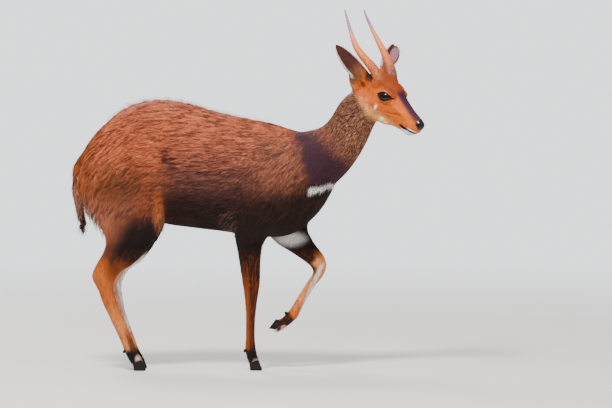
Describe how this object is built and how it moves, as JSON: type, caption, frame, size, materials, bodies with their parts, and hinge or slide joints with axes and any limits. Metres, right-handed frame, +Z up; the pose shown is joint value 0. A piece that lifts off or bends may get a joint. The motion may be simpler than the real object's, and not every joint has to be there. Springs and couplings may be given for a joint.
{
  "type": "life-size model of a walking bushbuck ram",
  "caption": "Still, life-size model of a bushbuck ram walking with its left forefoot lifted, as in a museum display.",
  "frame": {"origin": "middle of the bounding box, at the floor under the three standing hooves", "axes": "+X the way the animal walks, +Y its left, +Z up"},
  "size_m": [1.1928, 0.2848, 1.2037],
  "materials": {
    "coat": "rufous brown coat",
    "coat_face": "orange-brown short coat of the face",
    "coat_ear": "grey-brown short coat of the ears",
    "coat_dark": "dark brown coat",
    "eye": "glossy dark brown",
    "horn": "ridged grey-brown horn",
    "hoof": "near-black horn"
  },
  "bodies": {
    "root": {"dewclaw_fore_left_inner": "hoof", "dewclaw_fore_left_outer": "hoof", "dewclaw_fore_right_inner": "hoof", "dewclaw_fore_right_outer": "hoof", "dewclaw_hind_left_inner": "hoof", "dewclaw_hind_left_outer": "hoof", "dewclaw_hind_right_inner": "hoof", "dewclaw_hind_right_outer": "hoof", "ear_left": "coat_ear", "ear_right": "coat_ear", "eye_left": "eye", "eye_right": "eye", "head": "coat_face", "hoof_fore_left_inner": "hoof", "hoof_fore_left_outer": "hoof", "hoof_fore_right_inner": "hoof", "hoof_fore_right_outer": "hoof", "hoof_hind_left_inner": "hoof", "hoof_hind_left_outer": "hoof", "hoof_hind_right_inner": "hoof", "hoof_hind_right_outer": "hoof", "horn_left": "horn", "horn_right": "horn", "leg_fore_left": "coat_dark", "leg_fore_right": "coat_dark", "leg_hind_left": "coat", "leg_hind_right": "coat", "neck": "coat_dark", "tail": "coat", "torso": "coat"}
  },
  "joints": []
}
